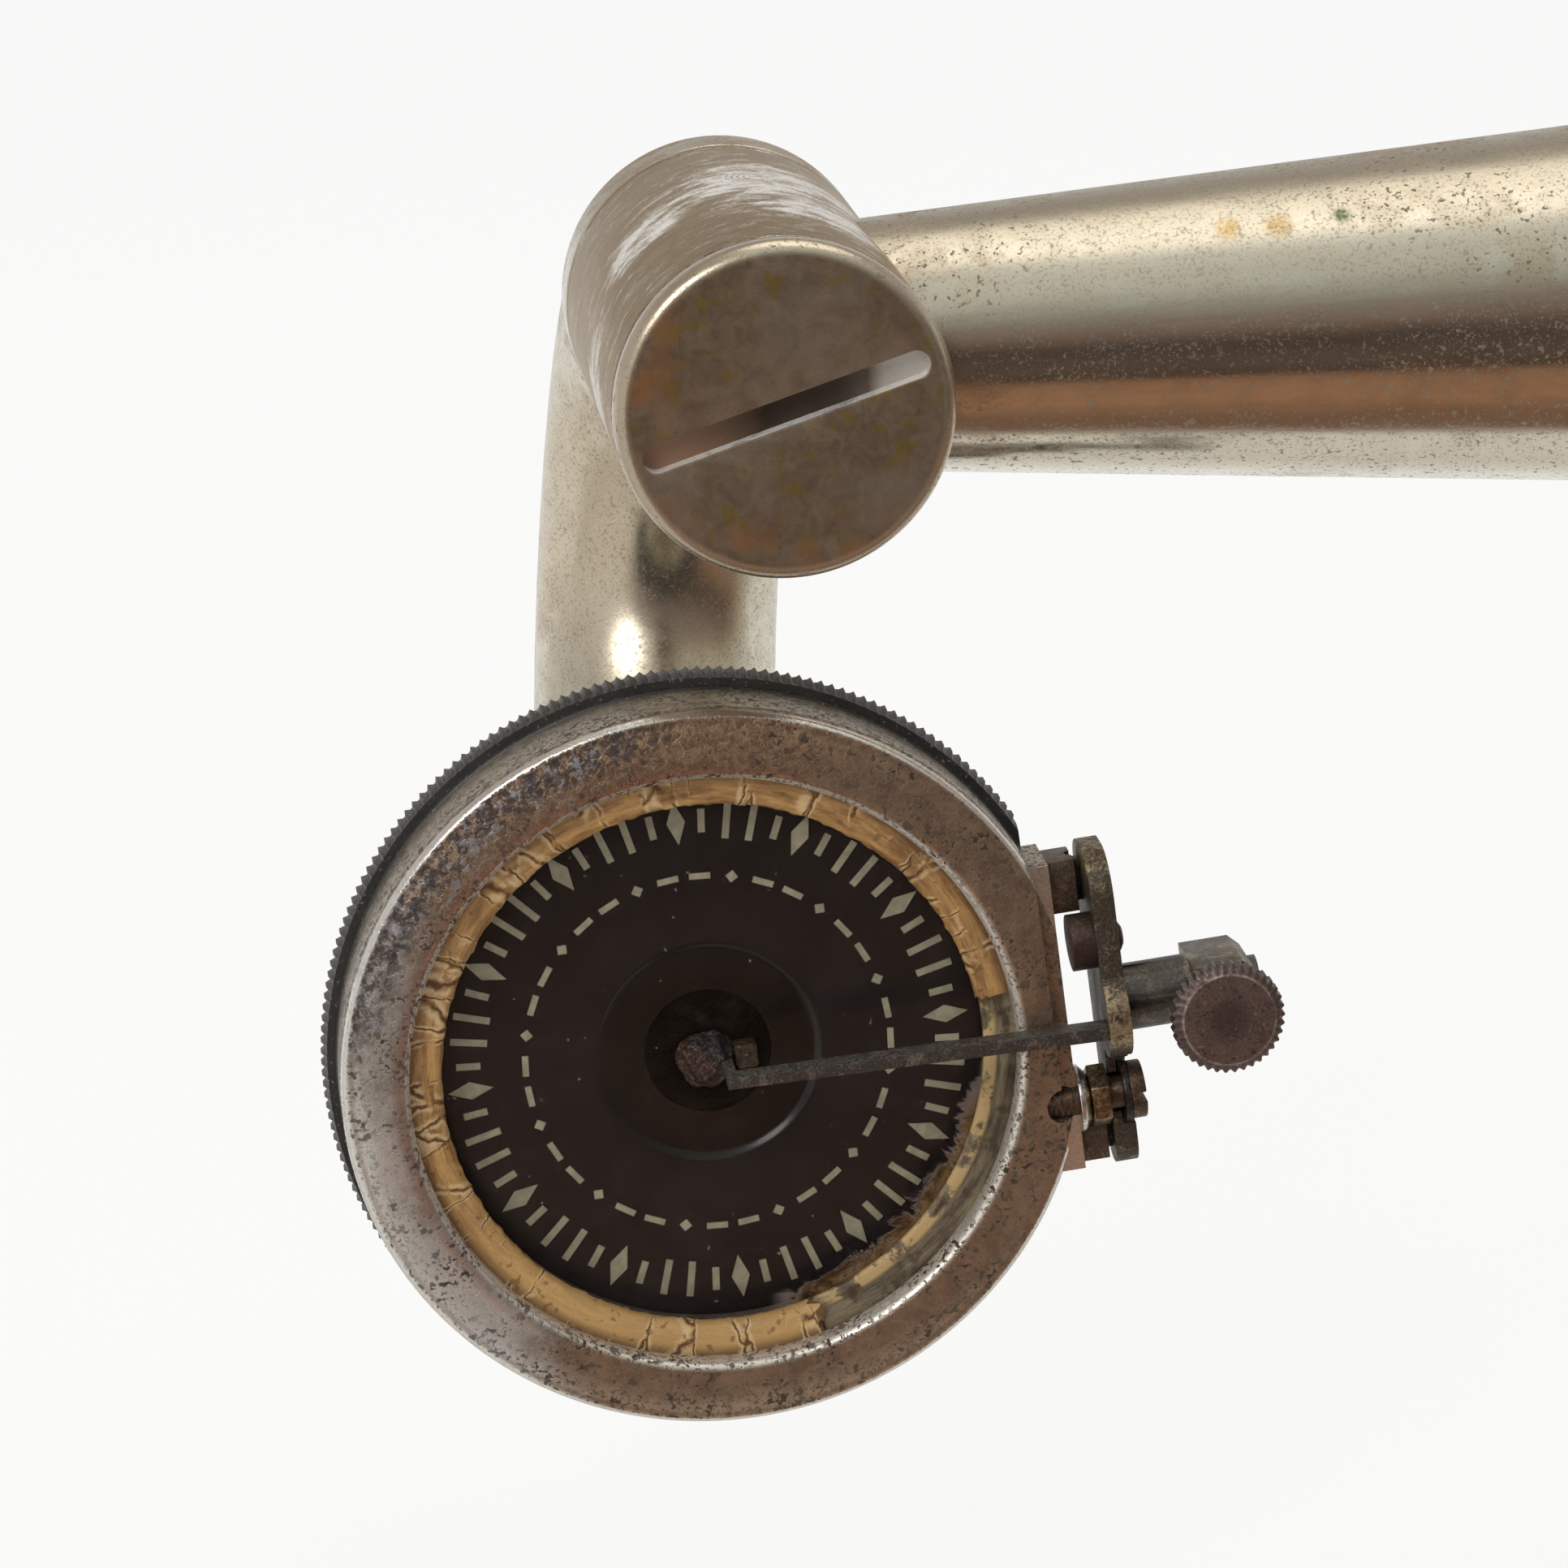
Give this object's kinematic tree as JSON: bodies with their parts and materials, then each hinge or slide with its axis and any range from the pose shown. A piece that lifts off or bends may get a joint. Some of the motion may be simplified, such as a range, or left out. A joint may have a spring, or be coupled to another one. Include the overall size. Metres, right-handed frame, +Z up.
{
  "type": "gramophone tone arm",
  "caption": "Taper-tube gramophone tone arm on a swivel base, with a hinged gooseneck and a round mica sound box whose stylus bar clamps a needle.",
  "frame": {"origin": "centre of the base's mounting face, on the swing axis", "axes": "+Z up along the swing axis, the arm reaches towards -X, the sound box faces -Y"},
  "size_m": [0.2859, 0.108, 0.1199],
  "materials": {
    "nickel": "worn nickel plate over brass, slightly yellowed",
    "browned_plate": "plate worn through to browned brass",
    "pitted_plate": "thin plate with brown pitting",
    "paper_gasket": "tubular gasket covered with ochre paper",
    "dark_gasket": "perished rubber",
    "mica": "clear sheet mica",
    "black_lacquer": "glossy dark lacquer",
    "hard_rubber": "dusty black moulded rubber",
    "dark_steel": "blackened steel with worn edges",
    "brown_steel": "brown patina",
    "worn_brass": "dull brass",
    "bright_steel": "bright nickel",
    "bare_steel": "polished balls",
    "felt": "pressed felt",
    "wax": "hard reddish wax"
  },
  "bodies": {
    "base": {"base_flange": "nickel", "bearing_balls": "bare_steel", "felt_seal": "felt"},
    "tone_arm": {"taper_tube": "nickel", "rear_elbow": "nickel", "elbow_ferrule": "nickel", "cross_tube": "nickel", "bearing_collar": "nickel", "ring_nut": "worn_brass", "friction_washer": "worn_brass"},
    "gooseneck": {"gooseneck_tube": "nickel", "cap_screw": "browned_plate", "bayonet_pin": "dark_steel"},
    "sound_box": {"casing_ring": "pitted_plate", "front_gasket": "paper_gasket", "diaphragm": "mica", "rear_gasket": "dark_gasket", "dial": "black_lacquer", "knurled_flange": "hard_rubber", "bayonet_collar": "nickel", "case_screws": "dark_steel", "collar_screws": "dark_steel", "knife_blocks": "dark_steel", "tension_screw": "brown_steel", "spring_washer": "dark_steel", "lock_nut": "worn_brass", "cup_washer": "bright_steel"},
    "stylus_bar": {"yoke_plate": "worn_brass", "stylus_arm": "dark_steel", "needle_holder": "dark_steel", "stop_screw": "brown_steel", "foot_nut": "worn_brass", "wax_seal": "wax"},
    "needle_screw": {"thumb_screw": "brown_steel"}
  },
  "joints": [
    {"name": "arm_swing", "type": "hinge", "parent": "base", "child": "tone_arm", "pos_m": [0, 0, 0.05], "axis": [0, 0, 1], "range_deg": [-35, 35]},
    {"name": "gooseneck_lift", "type": "hinge", "parent": "tone_arm", "child": "gooseneck", "pos_m": [-0.208, 0, 0.098], "axis": [0, 1, 0], "range_deg": [-25, 200]},
    {"name": "soundbox_twist", "type": "hinge", "parent": "gooseneck", "child": "sound_box", "pos_m": [-0.2129, -0.0038, 0.04804], "axis": [0, 1, 0], "range_deg": [0, 16]},
    {"name": "stylus_rock", "type": "hinge", "parent": "sound_box", "child": "stylus_bar", "pos_m": [-0.18599, -0.0008, 0.05033], "axis": [-0.0958, 0, 0.9954], "range_deg": [-0.4, 0.4], "stiffness_Nm_per_rad": 2},
    {"name": "needle_screw_turn", "type": "hinge", "parent": "stylus_bar", "child": "needle_screw", "pos_m": [-0.17811, -0.0068, 0.05189], "axis": [0, -1, 0], "range_deg": [0, 540]}
  ]
}
